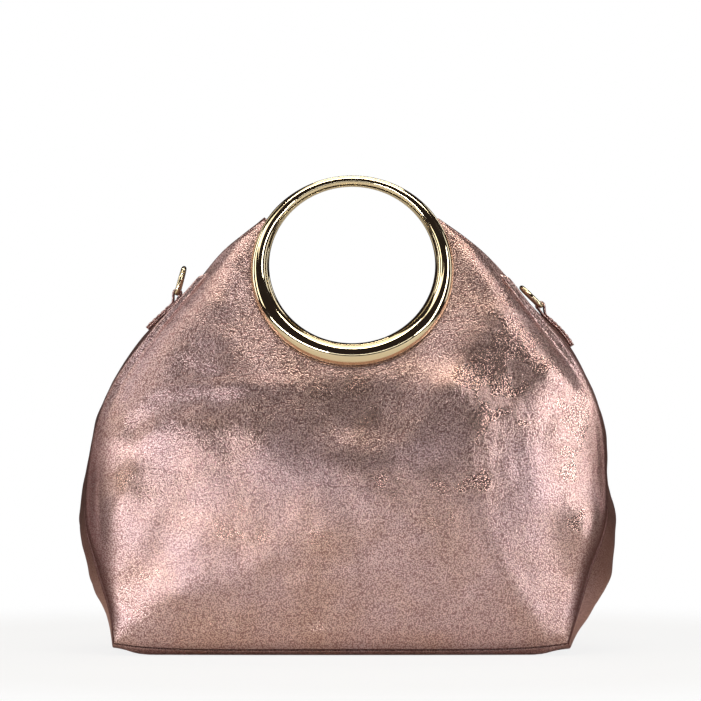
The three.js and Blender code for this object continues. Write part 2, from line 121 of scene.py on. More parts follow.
FLOOR_RADIUS = 1.45
FLOOR_SIDES = 96
FLOOR_COLOUR = (0.72, 0.69, 0.64, 1)
FLOOR_FADES = (0.26, 0.50)  # distances from the middle between which it fades out in the picture
FLOOR_NEARER = 0.35  # in reflections it counts as this much nearer, and fades out further away
FLOOR_SEEN = 0.15  # share of the floor that the white surroundings do not outshine in the picture
turns = np.linspace(0, 2 * np.pi, FLOOR_SIDES, endpoint=False)
rim = np.stack([np.cos(turns), np.sin(turns), 0 * turns], -1) * FLOOR_RADIUS
floor_mesh = bpy.data.meshes.new("floor")
floor_mesh.from_pydata(rim.tolist(), [], [list(range(FLOOR_SIDES))])
floor = bpy.data.objects.new("floor", floor_mesh)
bpy.context.scene.collection.objects.link(floor)
paper = bpy.data.materials.new("pale_paper")
paper.use_nodes = True
tree = paper.node_tree
paper_shader = tree.nodes["Principled BSDF"]
paper_shader.inputs["Base Color"].default_value = FLOOR_COLOUR
paper_shader.inputs["Roughness"].default_value = 0.7
spot = wire(tree, "ShaderNodeTexCoord", {})
reach = wire(tree, "ShaderNodeVectorMath", {0: spot.outputs["Object"]}, operation="LENGTH")
in_picture = wire(tree, "ShaderNodeLightPath", {}).outputs["Is Camera Ray"]
nearer = wire(tree, "ShaderNodeMapRange", {"Value": in_picture, "To Min": FLOOR_NEARER, "To Max": 1.0})
shown = wire(tree, "ShaderNodeMath", {
    0: reach.outputs["Value"], 1: nearer.outputs["Result"]}, operation="MULTIPLY")
fade = wire(tree, "ShaderNodeMapRange", {
    "Value": shown.outputs[0], "From Min": FLOOR_FADES[0], "From Max": FLOOR_FADES[1],
    "To Min": 1.0, "To Max": 0.0}, interpolation_type="SMOOTHSTEP")
seen_less = wire(tree, "ShaderNodeMapRange", {"Value": in_picture, "To Min": 1.0, "To Max": FLOOR_SEEN})
cover = wire(tree, "ShaderNodeMath", {
    0: fade.outputs["Result"], 1: seen_less.outputs["Result"]}, operation="MULTIPLY")
tree.links.new(cover.outputs[0], paper_shader.inputs["Alpha"])
floor_mesh.materials.append(paper)


# Front and back panels: soft leather with a metallic foil face. Each hangs from its ring, whose groove
# holds the edge of a round notch, swells over what is inside, and rolls into the seams at its edge.
MM = 0.001
LEATHER = 1.8  # thickness in millimetres, as all sizes of the bag
GAP = 0.3  # play between leather and metal
SEAM_INSET = 0.2  # how far each edge stops short of its seam's line
SEAM_ROLL = 1.5  # radius of the turned edge at a seam
EDGE_STEPS = 6  # rows of points over a turned edge

# height, distance from the middle left and right, half the gap between front and back edges, how far
# the leather has rolled to the back, the panel's swell, and the bulge of the gussets left and right
EDGE_COLUMNS = ("up", "left", "right", "gap", "roll", "belly", "out_left", "out_right")
EDGE_ROWS = {
    "tip": (261, 50, 55.2, 13.3, 0.2, 0, 0, 0),
    "mouth": (243, 73.5, 79.5, 15.5, 0.5, 0.5, 0.5, 0.5),
    "gusset": (223.5, 90, 98, 18, 0.6, 1, 0.5, 0.5),
    "tab head": (206, 104.5, 111, 21, 0.65, 2, 1.5, 1.5),
    "tab foot": (186, 122.5, 129, 24.5, 0.65, 2.5, 3, 3),
    "haunch": (161, 140.5, 144, 28.5, 0.65, 3, 1.5, 2),
    "flank": (135, 150.5, 152.5, 33, 0.65, 3.5, 1.5, 2.5),
    "waist": (107, 155, 154, 38, 0.65, 4, 2.5, 2.5),
    "belly": (78, 156, 154, 43.5, 0.6, 4.5, 6, 8),
    "thigh": (50, 148.5, 144, 48.5, 0.5, 5, 8.5, 16),
    "shin": (25, 141, 136.5, 52, 0.4, 5.5, 5.5, 10.5),
    "corner": (7, 139, 131, 54, 0.35, 6, 2, 3),
}
EDGE = dict(zip(EDGE_COLUMNS, np.array(list(EDGE_ROWS.values()), float).T))
LAST_ROW = len(EDGE_ROWS) - 1
GUSSET_TOP = 2
BOTTOM_UP, BOTTOM_GAP, BOTTOM_ROLL, BOTTOM_BELLY = 3, 57, 0.2, 8  # halfway along the bottom edge
MIDDLE = np.array([0, 0, 110.0])
FULL_AT_RING, FULL_AT_EDGE = 0.95, 0.5  # how firmly the leather keeps its direction at ring and edge
BELLY_AT = 1 / 3  # share of the way from ring to edge where the belly is fullest
CORNERS = (0.36, 0.64)  # shares of the way round the edge from tip to tip

# centre, direction in degrees from +X, half length, half width and height of each fold
FOLD_COLUMNS = ("x", "up", "turn", "long", "wide", "high")
FOLDS = {
    "hollow under the ring": (5, 158, 0, 33, 33, -7.5),
    "brow across the panel": (20, 173, -10, 190, 25, 1.5),
    "edge of the brow": (-50, 161, 3, 62, 6, 1.3),
    "puff under the ring": (35, 175, 10, 15, 9, 1.5),
    "puff at left of the ring": (-60, 215, 15, 17, 10, 1.5),
    "dimple at right shoulder": (84, 166, -20, 20, 16, -3),
    "ridge by the dimple": (58, 160, -10, 15, 10, 3),
    "roll at right haunch": (130, 162, -45, 25, 9, 3),
    "crease at right flank": (125, 147, 40, 28, 12, -1.5),
    "slack at right flank": (98, 150, 75, 48, 13, -1),
    "crease at right waist": (136, 107, -30, 25, 12, -1),
    "bulge at right belly": (141, 79, 20, 15, 13, 3.5),
    "bulge at right thigh": (140, 66, 60, 15, 10, 1.5),
    "valley by right corner": (126, 40, -85, 50, 12, -1.5),
    "ridge to right corner": (103, 29, -60, 50, 10, 2),
    "tuck at right corner": (121, 8, 5, 22, 7, 2.5),
    "right half of the belly": (43, 29, -20, 70, 65, 2),
    "left half of the belly": (-44, 46, 40, 65, 27, 1.5),
    "ridge to left corner": (-89, 41, 25, 40, 12, 1),
    "slack at left thigh": (-116, 57, 55, 56, 12, -2),
    "roll at left belly": (-137, 84, 70, 22, 9, 2),
    "slack at left belly": (-152, 76, 85, 26, 12, -3),
    "slack at left waist": (-121, 110, 0, 52, 15, -1),
    "crease at left waist": (-128, 117, 25, 20, 8, -1),
    "roll at left waist": (-141, 125, 15, 18, 9, 1.5),
    "crease at left flank": (-128, 133, 45, 20, 7, -1.5),
    "hollow at left shoulder": (-88, 160, 65, 22, 19, -2.5),
}
# the raised edge over the turned-in leather along a side seam, and the edge rows where it dies out
WELT = {"in": 4.0, "wide": 3.0, "high": 2.4, "rises over": 2.0, "dies out": (7, 9)}
# wavelength, height and seed of the leather's unevenness
RIPPLES = ((40, 0.18, 3), (17, 0.08, 4))


def unit(vectors):
    """Each vector divided by its length."""
    return vectors / np.linalg.norm(vectors, axis=-1, keepdims=True)


def lerp(start, end, share):
    """The straight mix of two values."""
    return start + (end - start) * share


def smooth(low, high, value):
    """0 below low, 1 above high, and 3t^2 - 2t^3 between them."""
    t = np.clip((value - low) / (high - low), 0, 1)
    return t * t * (3 - 2 * t)


def hermite(start, slope_start, end, slope_end, t):
    """The cubic that joins start and end and has these slopes there."""
    return ((2 * t**3 - 3 * t**2 + 1) * start + (t**3 - 2 * t**2 + t) * slope_start
            + (3 * t**2 - 2 * t**3) * end + (t**3 - t**2) * slope_end)


def edge_value(column, place):
    """A column of the edge table at any place: a cubic between rows, with the slope of its neighbours."""
    rows = EDGE[column]
    row = np.clip(np.floor(place).astype(int), 0, LAST_ROW - 1)
    before, start, end, after = (rows[np.clip(row + k, 0, LAST_ROW)] for k in (-1, 0, 1, 2))
    return hermite(start, (end - before) / 2, end, (after - start) / 2, place - row)


def side_edge(side, place):
    """A panel's side edge: side is -1 on the left and 1 on the right, place counts rows from the tip."""
    out = np.where(np.asarray(side) < 0, edge_value("left", place), edge_value("right", place))
    return np.stack([side * out, -edge_value("gap", place), edge_value("up", place)], -1)


def bottom_edge(share):
    """A panel's bottom edge from the left corner at -1 to the right at 1, lifted at both corners."""
    x = lerp(-EDGE["left"][-1], EDGE["right"][-1], (share + 1) / 2)
    gap = lerp(BOTTOM_GAP, EDGE["gap"][-1], share**2)
    return np.stack([x, -gap, lerp(BOTTOM_UP, EDGE["up"][-1], share**6)], -1)


def outward(points):
    """From the panel's middle to these points, as seen from the front."""
    return unit((points - MIDDLE) * (1, 0, 1))


def side_mitre(points, roll):
    """From the outer to the inner face of a side seam: inwards, and backwards as far as it is unrolled."""
    return LEATHER * (np.stack([0 * roll, 1 - roll, 0 * roll], -1) - outward(points))


def bottom_roll(share):
    """How far the bottom edge has rolled to the back: by the fourth power of the way to a corner."""
    return lerp(BOTTOM_ROLL, EDGE["roll"][-1], share**4)


def bottom_mitre(share):
    """From the outer to the inner face of the bottom seam: up, backwards, and inwards at the corners."""
    return LEATHER * np.stack([-np.sign(share) * share**12, 1 - bottom_roll(share), 1 + 0 * share], -1)


def edge_place(share):
    """The row of the edge table at a share of the way from tip to tip, past the last row under the bag."""
    return np.minimum(share, 1 - share) / CORNERS[0] * LAST_ROW


def panel_edge(share):
    """The panel's whole edge, from the left tip at 0 over both bottom corners to the right tip at 1:
    its points, roll, belly and mitre, and how surely the edge is sewn."""
    side = np.where(share < 0.5, -1, 1)
    place = np.clip(edge_place(share), 0, LAST_ROW)
    along = np.clip((share - CORNERS[0]) / (CORNERS[1] - CORNERS[0]) * 2 - 1, -1, 1)
    under = (share > CORNERS[0]) & (share < CORNERS[1])
    column = under[:, None]
    point = np.where(column, bottom_edge(along), side_edge(side, place))
    roll = np.where(under, bottom_roll(along), edge_value("roll", place))
    swell = np.where(under, lerp(BOTTOM_BELLY, EDGE["belly"][-1], along**2), edge_value("belly", place))
    mitre = np.where(column, bottom_mitre(along), side_mitre(point, edge_value("roll", place)))
    sewn = smooth(GUSSET_TOP - 0.1, GUSSET_TOP + 0.1, place)
    return point, roll, swell, mitre, sewn


# the ring that the panel hangs from: its centre, its own directions, and where its groove holds leather
RING_LEAN = math.radians(19.6)
RING_CENTRE = np.array([2.8, -23.2, 230.6])
RING_ACROSS = np.array([1.0, 0, 0])
RING_UP = np.array([0, math.sin(RING_LEAN), math.cos(RING_LEAN)])
RING_OUT = np.array([0, -math.cos(RING_LEAN), math.sin(RING_LEAN)])
RING_RADIUS, RING_BAR, RING_TAPER, GROOVE_DEPTH = 55.8, 5.2, 1.95, 2.2
LEATHER_FROM, LEATHER_TO = math.radians(147), math.radians(393)
RIM_CENTRE = RING_CENTRE - RING_TAPER * RING_UP
RIM_RADIUS = RING_RADIUS + RING_BAR


def ring_radial(angle):
    """From the ring's centre outwards in its plane."""
    return np.cos(angle)[..., None] * RING_ACROSS + np.sin(angle)[..., None] * RING_UP


def fold_height(x, up):
    """The sum of the folds: each a bell along and across its own direction."""
    total = 0
    for row in FOLDS.values():
        fold = dict(zip(FOLD_COLUMNS, row))
        turn = math.radians(fold["turn"])
        dx, dz = x - fold["x"], up - fold["up"]
        along = (dx * math.cos(turn) + dz * math.sin(turn)) / fold["long"]
        off = (dz * math.cos(turn) - dx * math.sin(turn)) / fold["wide"]
        total = total + fold["high"] * np.exp(-along**2 - off**2)
    return total


def ripple(x, up, wavelength, seed, waves=36):
    """Soft unevenness: the sum of sine waves of about one wavelength, each in its own direction."""
    draw = np.random.default_rng(seed)
    turn, phase = draw.uniform(0, 2 * np.pi, (2, waves))
    pitch = 2 * np.pi / wavelength * draw.uniform(0.6, 1.4, waves)
    along = x[..., None] * np.cos(turn) + up[..., None] * np.sin(turn)
    return np.sin(along * pitch + phase).sum(-1) * math.sqrt(2 / waves)


def grid_normal(grid):
    """The normal of a grid of points, pointing away from the inside of the bag."""
    normal = unit(np.cross(np.gradient(grid, axis=0), np.gradient(grid, axis=1)))
    return normal * np.sign(np.sum(normal * (grid - MIDDLE)))


def soften(grid, share, times):
    """Each column drawn towards the mean of its two neighbours, again and again, by a share of its own
    at each point."""
    for _ in range(times):
        middle = (grid[:-2] + grid[2:]) / 2
        grid[1:-1] += (middle - grid[1:-1]) * 0.5 * share[1:-1, :, None]
    return grid


def turned_edge(seam, leaving, inwards):
    """Rows of a quarter round from the face into the seam: a point runs back along the face by
    r (1 - sin a) and inwards by r (1 - cos a)."""
    a = np.linspace(0, np.pi / 2, EDGE_STEPS + 1)[None, 1:, None]
    back, depth = SEAM_ROLL * (1 - np.sin(a)), SEAM_ROLL * (1 - np.cos(a))
    return seam[:, None] - unit(leaving)[:, None] * back + unit(inwards)[:, None] * depth


def inner_edge(last, seam):
    """As many rows of the inner face, straight from its last row to the inner side of the seam."""
    into = (np.arange(1, EDGE_STEPS + 1) / EDGE_STEPS)[None, :, None]
    return lerp(last, seam[:, None], into)


PANEL_COLUMNS, PANEL_ROWS = 340, 84
ROW_CROWDING = 0.9  # rows stand a little closer towards the edge
EDGE_MOST = 0.3  # share of the way that a turned edge may take where the panel is short
# how many times the leather is drawn smooth, and the shares of the way over which this sets in from the
# tips, sets in from the ring, and dies out at the edge
SOFTENED, CALM_BY_TIP, CALM_BY_RING, CALM_BY_EDGE = 260, (0.03, 0.12), (0.02, 0.3), (0.75, 1)
FREE_BY_RING, FREE_BY_EDGE = 0.25, 0.12  # shares of the way over which ring and seam hold the folds down


def panel_grids(seed):
    """Outer and inner face of the front panel. The leather leaves the ring in the ring's plane and joins
    its edge by a cubic, is pushed forwards by the belly, a window (t/b)^2 ((1-t)/(1-b))^4, and then
    along its normal by folds and unevenness that die out at ring and seam."""
    share = np.linspace(0, 1, PANEL_COLUMNS)
    point, roll, belly, mitre, sewn = panel_edge(share)
    radial = ring_radial(lerp(LEATHER_FROM, LEATHER_TO, share))
    start = RIM_CENTRE + radial * (RIM_RADIUS - GROOVE_DEPTH + GAP) + RING_OUT * LEATHER / 2
    back = np.array([0, 1.0, 0])
    leaving = unit(outward(point) * (1 - roll)[:, None] + back * roll[:, None])
    end = point - leaving * SEAM_INSET
    chord = np.linalg.norm(end - start, axis=-1)
    stop = 1 - np.minimum(SEAM_ROLL / (chord * FULL_AT_EDGE), EDGE_MOST)
    down = np.linspace(0, 1, PANEL_ROWS)
    t = (down[None] ** ROW_CROWDING * stop[:, None])[..., None]
    reach = chord[:, None, None]
    grid = hermite(start[:, None], radial[:, None] * reach * FULL_AT_RING,
                   end[:, None], leaving[:, None] * reach * FULL_AT_EDGE, t)
    falling = 2 * (1 - BELLY_AT) / BELLY_AT
    swell = (t / BELLY_AT) ** 2 * ((1 - t) / (1 - BELLY_AT)) ** falling
    grid = grid - back * belly[:, None, None] * swell
    calm = smooth(*CALM_BY_RING, down) * (1 - smooth(*CALM_BY_EDGE, down))
    from_tip = smooth(*CALM_BY_TIP, np.minimum(share, 1 - share))[:, None]
    grid = soften(grid, from_tip * calm, SOFTENED)
    x, up = grid[..., 0], grid[..., 2]
    free = (smooth(0, FREE_BY_RING, down) * smooth(0, FREE_BY_EDGE, 1 - down))[None]
    push = fold_height(x, up) * free
    for wavelength, height, number in RIPPLES:
        push = push + height * free * ripple(x, up, wavelength, seed + number)
    from_seam = np.linalg.norm(end[:, None] - grid, axis=-1)
    welted = sewn * (1 - smooth(*WELT["dies out"], edge_place(share)))
    off = (from_seam - WELT["in"]) / WELT["wide"]
    bead = WELT["high"] * np.exp(-off**2) * smooth(0, WELT["rises over"], from_seam)
    push = push + bead * welted[:, None]
    grid = grid + grid_normal(grid) * push[..., None]
    normal = grid_normal(grid)
    mitre = lerp(-normal[:, -1] * LEATHER, mitre, sewn[:, None])
    outer = np.concatenate([grid, turned_edge(end, leaving, mitre)], axis=1)
    inner = grid - normal * LEATHER
    inner[:, 0] = grid[:, 0] - RING_OUT * LEATHER
    inner = np.concatenate([inner, inner_edge(inner[:, -1:], end + mitre)], axis=1)
    return outer, inner


def faces_of(numbers):
    """Four-cornered faces between neighbouring points of a grid of point numbers."""
    corners = [numbers[:-1, :-1], numbers[1:, :-1], numbers[1:, 1:], numbers[:-1, 1:]]
    return np.stack(corners, -1).reshape(-1, 4)


def add_piece(name, points, faces, finishes, finish_of_face=None, caps=()):
    """A mesh object of these points in millimetres, turned so that its faces point out."""
    a, b, c, d = (points[faces[:, k]] for k in range(4))
    volume = np.sum(np.cross(a, b) * c) + np.sum(np.cross(a, c) * d)
    order = slice(None) if volume > 0 else slice(None, None, -1)
    rows = [list(face[order]) for face in faces.tolist()] + [list(cap)[order] for cap in caps]
    mesh = bpy.data.meshes.new(name)
    mesh.from_pydata((points * MM).tolist(), [], rows)
    for finish in finishes:
        mesh.materials.append(finish)
    if finish_of_face is not None:
        mesh.polygons.foreach_set("material_index", finish_of_face.astype(np.int32))
    mesh.polygons.foreach_set("use_smooth", np.ones(len(rows), bool))
    mesh.update()
    piece = bpy.data.objects.new(name, mesh)
    bpy.context.scene.collection.objects.link(piece)
    return piece


def add_wall(name, outer, inner, finishes, shade_and_wear):
    """A closed leather wall: the outer grid, the inner grid, and a strip round the rim between them.
    The painted shade and wear of the outer face are kept for the finish as an attribute of the points."""
    columns, rows = outer.shape[:2]
    number = np.arange(2 * columns * rows).reshape(2, columns, rows)
    loop = np.concatenate([number[:, :, 0], number[:, -1, 1:], number[:, -2::-1, -1],
                           number[:, 0, -2::-1]], axis=1)
    faces = [faces_of(number[0]), faces_of(number[1])[:, ::-1], faces_of(loop)]
    inside = np.repeat([0, 1, 0], [len(part) for part in faces])
    points = np.concatenate([outer.reshape(-1, 3), inner.reshape(-1, 3)])
    piece = add_piece(name, points, np.concatenate(faces), finishes, inside)
    marks = piece.data.attributes.new("shade_and_wear", "FLOAT", "POINT")
    marks.data.foreach_set("value", np.concatenate([shade_and_wear.ravel(), 0 * shade_and_wear.ravel()]).astype(np.float32))
    return piece


def new_finish(name):
    """An empty finish: its material, node tree and main shader."""
    finish = bpy.data.materials.new(name)
    finish.use_nodes = True
    return finish, finish.node_tree, finish.node_tree.nodes["Principled BSDF"]


def foil_leather(name, rose, mauve, shadow, shade_and_bare):
    """Leather with a metallic foil face: clouds of rose and mauve, a fine pebbled grain with painted shadow
    in its pits that breaks the reflection up, soft slanted creases that fade out towards the foot, and a
    dark, duller face by a point attribute, which holds painted shade beside the seams and over the gussets,
    and painted shade with worn foil in the seams."""
    finish, tree, shader = new_finish(name)
    spot = wire(tree, "ShaderNodeTexCoord", {}).outputs["Object"]
    cloud = wire(tree, "ShaderNodeTexNoise", {
        "Vector": spot, "Scale": 17.0, "Detail": 3.0, "Roughness": 0.6})
    tint = wire(tree, "ShaderNodeMapRange", {
        "Value": cloud.outputs["Fac"], "From Min": 0.38, "From Max": 0.62})
    foil = wire(tree, "ShaderNodeMix", {
        "Factor": tint.outputs["Result"], "A": rose, "B": mauve}, data_type="RGBA")
    grain = wire(tree, "ShaderNodeTexNoise", {
        "Vector": spot, "Scale": 900.0, "Detail": 2.0, "Roughness": 0.55})
    pebble = wire(tree, "ShaderNodeTexVoronoi", {
        "Vector": spot, "Scale": 1300.0, "Smoothness": 0.3}, feature="SMOOTH_F1")
    height = wire(tree, "ShaderNodeMath", {
        0: pebble.outputs["Distance"], 1: -2.0, 2: grain.outputs["Fac"]}, operation="MULTIPLY_ADD")
    pits = wire(tree, "ShaderNodeMapRange", {
        "Value": height.outputs[0], "From Min": -0.75, "From Max": -0.20, "To Min": 0.74, "To Max": 0.0})
    shade_and_wear = wire(tree, "ShaderNodeAttribute", {}, attribute_name="shade_and_wear")
    grained = wire(tree, "ShaderNodeMix", {
        "Factor": pits.outputs["Result"], "A": foil.outputs["Result"], "B": shadow}, data_type="RGBA")
    # painted shade and worn foil: the face turns to the dark colour as far as the attribute says
    face = wire(tree, "ShaderNodeMix", {
        "Factor": shade_and_wear.outputs["Fac"], "A": grained.outputs["Result"], "B": shade_and_bare}, data_type="RGBA")
    gloss = wire(tree, "ShaderNodeMapRange", {
        "Value": cloud.outputs["Fac"], "From Min": 0.35, "From Max": 0.65, "To Min": 0.26, "To Max": 0.33})
    slanted = wire(tree, "ShaderNodeMapping", {
        "Vector": spot, "Rotation": (0, math.radians(35), 0), "Scale": (1.0, 1.0, 0.45)})
    crease = wire(tree, "ShaderNodeTexNoise", {
        "Vector": slanted.outputs["Vector"], "Scale": 130.0, "Detail": 3.0, "Roughness": 0.6})
    spot_up = wire(tree, "ShaderNodeSeparateXYZ", {"Vector": spot})
    slack = wire(tree, "ShaderNodeMapRange", {
        "Value": spot_up.outputs["Z"], "From Min": 0.04, "From Max": 0.13, "To Min": 0.25, "To Max": 1.0})
    creased = wire(tree, "ShaderNodeBump", {
        "Height": crease.outputs["Fac"], "Strength": slack.outputs["Result"], "Distance": 0.0005})
    relief = wire(tree, "ShaderNodeBump", {
        "Height": height.outputs[0], "Strength": 1.0, "Distance": 0.000072,
        "Normal": creased.outputs["Normal"]})
    tree.links.new(face.outputs["Result"], shader.inputs["Base Color"])
    rough = wire(tree, "ShaderNodeMath", {
        0: shade_and_wear.outputs["Fac"], 1: 0.25, 2: gloss.outputs["Result"]}, operation="MULTIPLY_ADD")
    tree.links.new(rough.outputs[0], shader.inputs["Roughness"])
    tree.links.new(relief.outputs["Normal"], shader.inputs["Normal"])
    shader.inputs["Metallic"].default_value = 0.93
    shader.inputs["Specular Tint"].default_value = (0.80, 0.56, 0.50, 1)
    return finish


def flesh_side(name, light, dark):
    """The leather's unfinished inner face: a matt nap with soft clouds and short fibres."""
    finish, tree, shader = new_finish(name)
    spot = wire(tree, "ShaderNodeTexCoord", {}).outputs["Object"]
    cloud = wire(tree, "ShaderNodeTexNoise", {"Vector": spot, "Scale": 60.0, "Detail": 4.0})
    colour = wire(tree, "ShaderNodeMix", {
        "Factor": cloud.outputs["Fac"], "A": light, "B": dark}, data_type="RGBA")
    nap = wire(tree, "ShaderNodeTexNoise", {"Vector": spot, "Scale": 1500.0, "Detail": 2.0})
    relief = wire(tree, "ShaderNodeBump", {
        "Height": nap.outputs["Fac"], "Strength": 0.8, "Distance": 0.0002})
    tree.links.new(colour.outputs["Result"], shader.inputs["Base Color"])
    tree.links.new(relief.outputs["Normal"], shader.inputs["Normal"])
    shader.inputs["Roughness"].default_value = 0.92
    shader.inputs["Sheen Weight"].default_value = 0.3
    return finish


SEAM_SHADE_AND_WEAR = (0.8, 1)  # painted shade in the seam and wear of the foil over a turned edge, from the face into the seam
# painted shade beside the side seams: the edge rows where it starts, widens, narrows and ends, its width at
# its ends and where it is widest, and how strong it is; and the same along the bottom seam under the bag
PAINTED_SEAM_SHADE = {
    "starts": (4.3, 5.2), "widens": (5.2, 7.2), "narrows": (8.5, 10), "ends": (9.8, 11),
    "narrow": 9, "wide left": 28, "wide right": 20, "most": 0.93, "wide under": 7, "most under": 0.4,
}


def panel_shade_and_wear(outer):
    """Painted shade and wear on a panel's face: painted shade with worn foil in its seams, and painted
    shade beside them from the flank down and along the bottom seam, where it fades out over a few
    millimetres."""
    share = np.linspace(0, 1, PANEL_COLUMNS)
    place = edge_place(share)
    low = smooth(*PAINTED_SEAM_SHADE["starts"], place) * (1 - smooth(*PAINTED_SEAM_SHADE["ends"], place))
    broad = smooth(*PAINTED_SEAM_SHADE["widens"], place) * (1 - smooth(*PAINTED_SEAM_SHADE["narrows"], place))
    most = np.where(share < 0.5, PAINTED_SEAM_SHADE["wide left"], PAINTED_SEAM_SHADE["wide right"])
    wide = lerp(PAINTED_SEAM_SHADE["narrow"], most, broad)[:, None]
    under = smooth(LAST_ROW, LAST_ROW + 1, place)
    from_seam = np.linalg.norm(outer - outer[:, PANEL_ROWS:PANEL_ROWS + 1], axis=-1)
    # painted shade beside the side seams from the flank down, and along the bottom seam
    shade_and_wear = PAINTED_SEAM_SHADE["most"] * low[:, None] * (1 - smooth(0, 1, from_seam / wide))
    by_bottom = 1 - smooth(0, PAINTED_SEAM_SHADE["wide under"], from_seam)
    shade_and_wear = shade_and_wear + PAINTED_SEAM_SHADE["most under"] * under[:, None] * by_bottom
    # painted shade and worn foil over the turned edge, darkest in the seam
    shade_and_wear[:, PANEL_ROWS:] = np.linspace(*SEAM_SHADE_AND_WEAR, EDGE_STEPS)
    return shade_and_wear


rose_foil = foil_leather(
    "rose_foil_leather", rose=(0.855, 0.605, 0.52, 1), mauve=(0.835, 0.615, 0.60, 1),
    shadow=(0.22, 0.09, 0.09, 1), shade_and_bare=(0.10, 0.042, 0.038, 1))
bare_leather = flesh_side("flesh_side_leather", light=(0.30, 0.20, 0.15, 1), dark=(0.20, 0.13, 0.10, 1))
both_faces = [rose_foil, bare_leather]

for word, turn, seed in (("front", 1, 10), ("back", -1, 40)):
    outer, inner = panel_grids(seed)
    # painted shade beside and in the seams, and worn foil in them, for the panel's face
    shade_and_wear = panel_shade_and_wear(outer)
    mirror = (1, turn, 1)
    panel = add_wall(f"{word}_leather_panel", outer * mirror, inner * mirror, both_faces, shade_and_wear)
    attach(panel, "bag")
    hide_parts(f"{word}_panel")


# Side gussets: leather strips sewn between the panels' turned edges, wide at the foot and narrow at the
# shoulder. They bulge out between their seams, most of all low down at the right.
SIDE_FOOT = 2
GUSSET_COLUMNS, GUSSET_ROWS = 200, 56
GUSSET_RIPPLES = ((34, 0.35, 21), (15, 0.10, 22))
GUSSET_SLACK = (4.3, 5.5)  # edge rows below the tab, where the leather begins to hang unevenly
GUSSET_HELD = (LAST_ROW, LAST_ROW - 1.5)  # edge rows over which the base holds it even
GUSSET_SHADE, GUSSET_UNSHADED = 0.72, (8.5, 10.5)  # painted shade over its foil, and the edge rows below which it has none
NEARBY = 0.01  # a short step from row to row or from seam to seam


def gusset_face(side, place, across):
    """A gusset's outer face: between its seams it stands out from the outline by a parabola, and its
    foot sinks to the floor's height in the middle."""
    seam = side_edge(side, place)
    along = unit(seam - side_edge(side, np.maximum(place - NEARBY, 0)))
    out = np.stack([-along[..., 2] * side, 0 * place, along[..., 0] * side], -1)
    out = out * np.sign(out[..., :1] * side)
    swell = 1 - across**2
    foot = smooth(LAST_ROW - 1, LAST_ROW, place) ** 3
    drop = (EDGE["up"][-1] - SIDE_FOOT) * foot * swell
    half = -seam[..., 1] - SEAM_INSET
    bulge = edge_value("out_left" if side < 0 else "out_right", place) * swell
    flat = np.stack([seam[..., 0], half * across, seam[..., 2] - drop], -1)
    return flat + out * bulge[..., None]


def foot_mitre(side, across):
    """From the outer to the inner face along the foot of a gusset, the same for the base's end."""
    roll = EDGE["roll"][-1]
    return LEATHER * np.stack([-side + 0 * across, -(1 - roll) * across**3, 1 + 0 * across], -1)


def gusset_grids(side):
    """Outer and inner face of a gusset, with a turned edge along each seam."""
    place = np.linspace(LAST_ROW, GUSSET_TOP, GUSSET_COLUMNS)[:, None]
    stop = 1 - SEAM_ROLL / edge_value("gap", place)
    across = np.linspace(-1, 1, GUSSET_ROWS)[None] * stop
    grid = gusset_face(side, place + 0 * across, across)
    grid[0, :, 2] += SEAM_INSET
    free = (1 - across**2) ** 2 * smooth(*GUSSET_HELD, place) * smooth(*GUSSET_SLACK, place)
    push = 0
    for wavelength, height, seed in GUSSET_RIPPLES:
        push = push + height * free * ripple(grid[..., 1], grid[..., 2], wavelength, seed + side)
    grid = grid + grid_normal(grid) * push[..., None]
    inner = grid - grid_normal(grid) * LEATHER
    outer_rows, inner_rows = [], []
    for end in (-1, 1):
        seam = gusset_face(side, place[:, 0], end + 0 * place[:, 0])
        seam[0, 2] += SEAM_INSET
        leaving = unit(seam - gusset_face(side, place[:, 0], (1 - NEARBY) * end + 0 * place[:, 0]))
        mitre = side_mitre(side_edge(side, place[:, 0]), edge_value("roll", place[:, 0]))
        mitre = mitre * (1, -end, 1)
        mitre[0] = foot_mitre(side, np.array(float(end)))
        last = inner[:, :1] if end < 0 else inner[:, -1:]
        outer_rows.append(turned_edge(seam, leaving, mitre))
        inner_rows.append(inner_edge(last, seam + mitre))
    outer = np.concatenate([outer_rows[0][:, ::-1], grid, outer_rows[1]], axis=1)
    inner = np.concatenate([inner_rows[0][:, ::-1], inner, inner_rows[1]], axis=1)
    middle = slice(EDGE_STEPS, -EDGE_STEPS)
    inner[0, middle] = outer[0, middle] + foot_mitre(side, across[0])
    return outer, inner


for word, side in (("left", -1), ("right", 1)):
    outer, inner = gusset_grids(side)
    place = np.linspace(LAST_ROW, GUSSET_TOP, GUSSET_COLUMNS)
    # painted shade over the gusset's face, none near its foot, and painted shade with worn foil in both
    # seams
    shade_and_wear = GUSSET_SHADE * (1 - smooth(*GUSSET_UNSHADED, place))[:, None] + np.zeros(outer.shape[:2])
    shade_and_wear[:, -EDGE_STEPS:] = np.linspace(*SEAM_SHADE_AND_WEAR, EDGE_STEPS)
    shade_and_wear[:, :EDGE_STEPS] = np.linspace(*SEAM_SHADE_AND_WEAR[::-1], EDGE_STEPS)
    gusset = add_wall(f"{word}_side_gusset", outer, inner, both_faces, shade_and_wear)
    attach(gusset, "bag")
    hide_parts(f"gusset_{word}")


# Base: one piece of the same leather that the bag stands on, flat in the middle. Its rim curls up all
# round to the seams, in which it is sewn to the panels and gussets.
BASE_COLUMNS, BASE_ROWS = 150, 64
BASE_FLAT = 0.78  # share of the way from its middle to its rim
BASE_RIM = 0.6  # radius of its turned rim


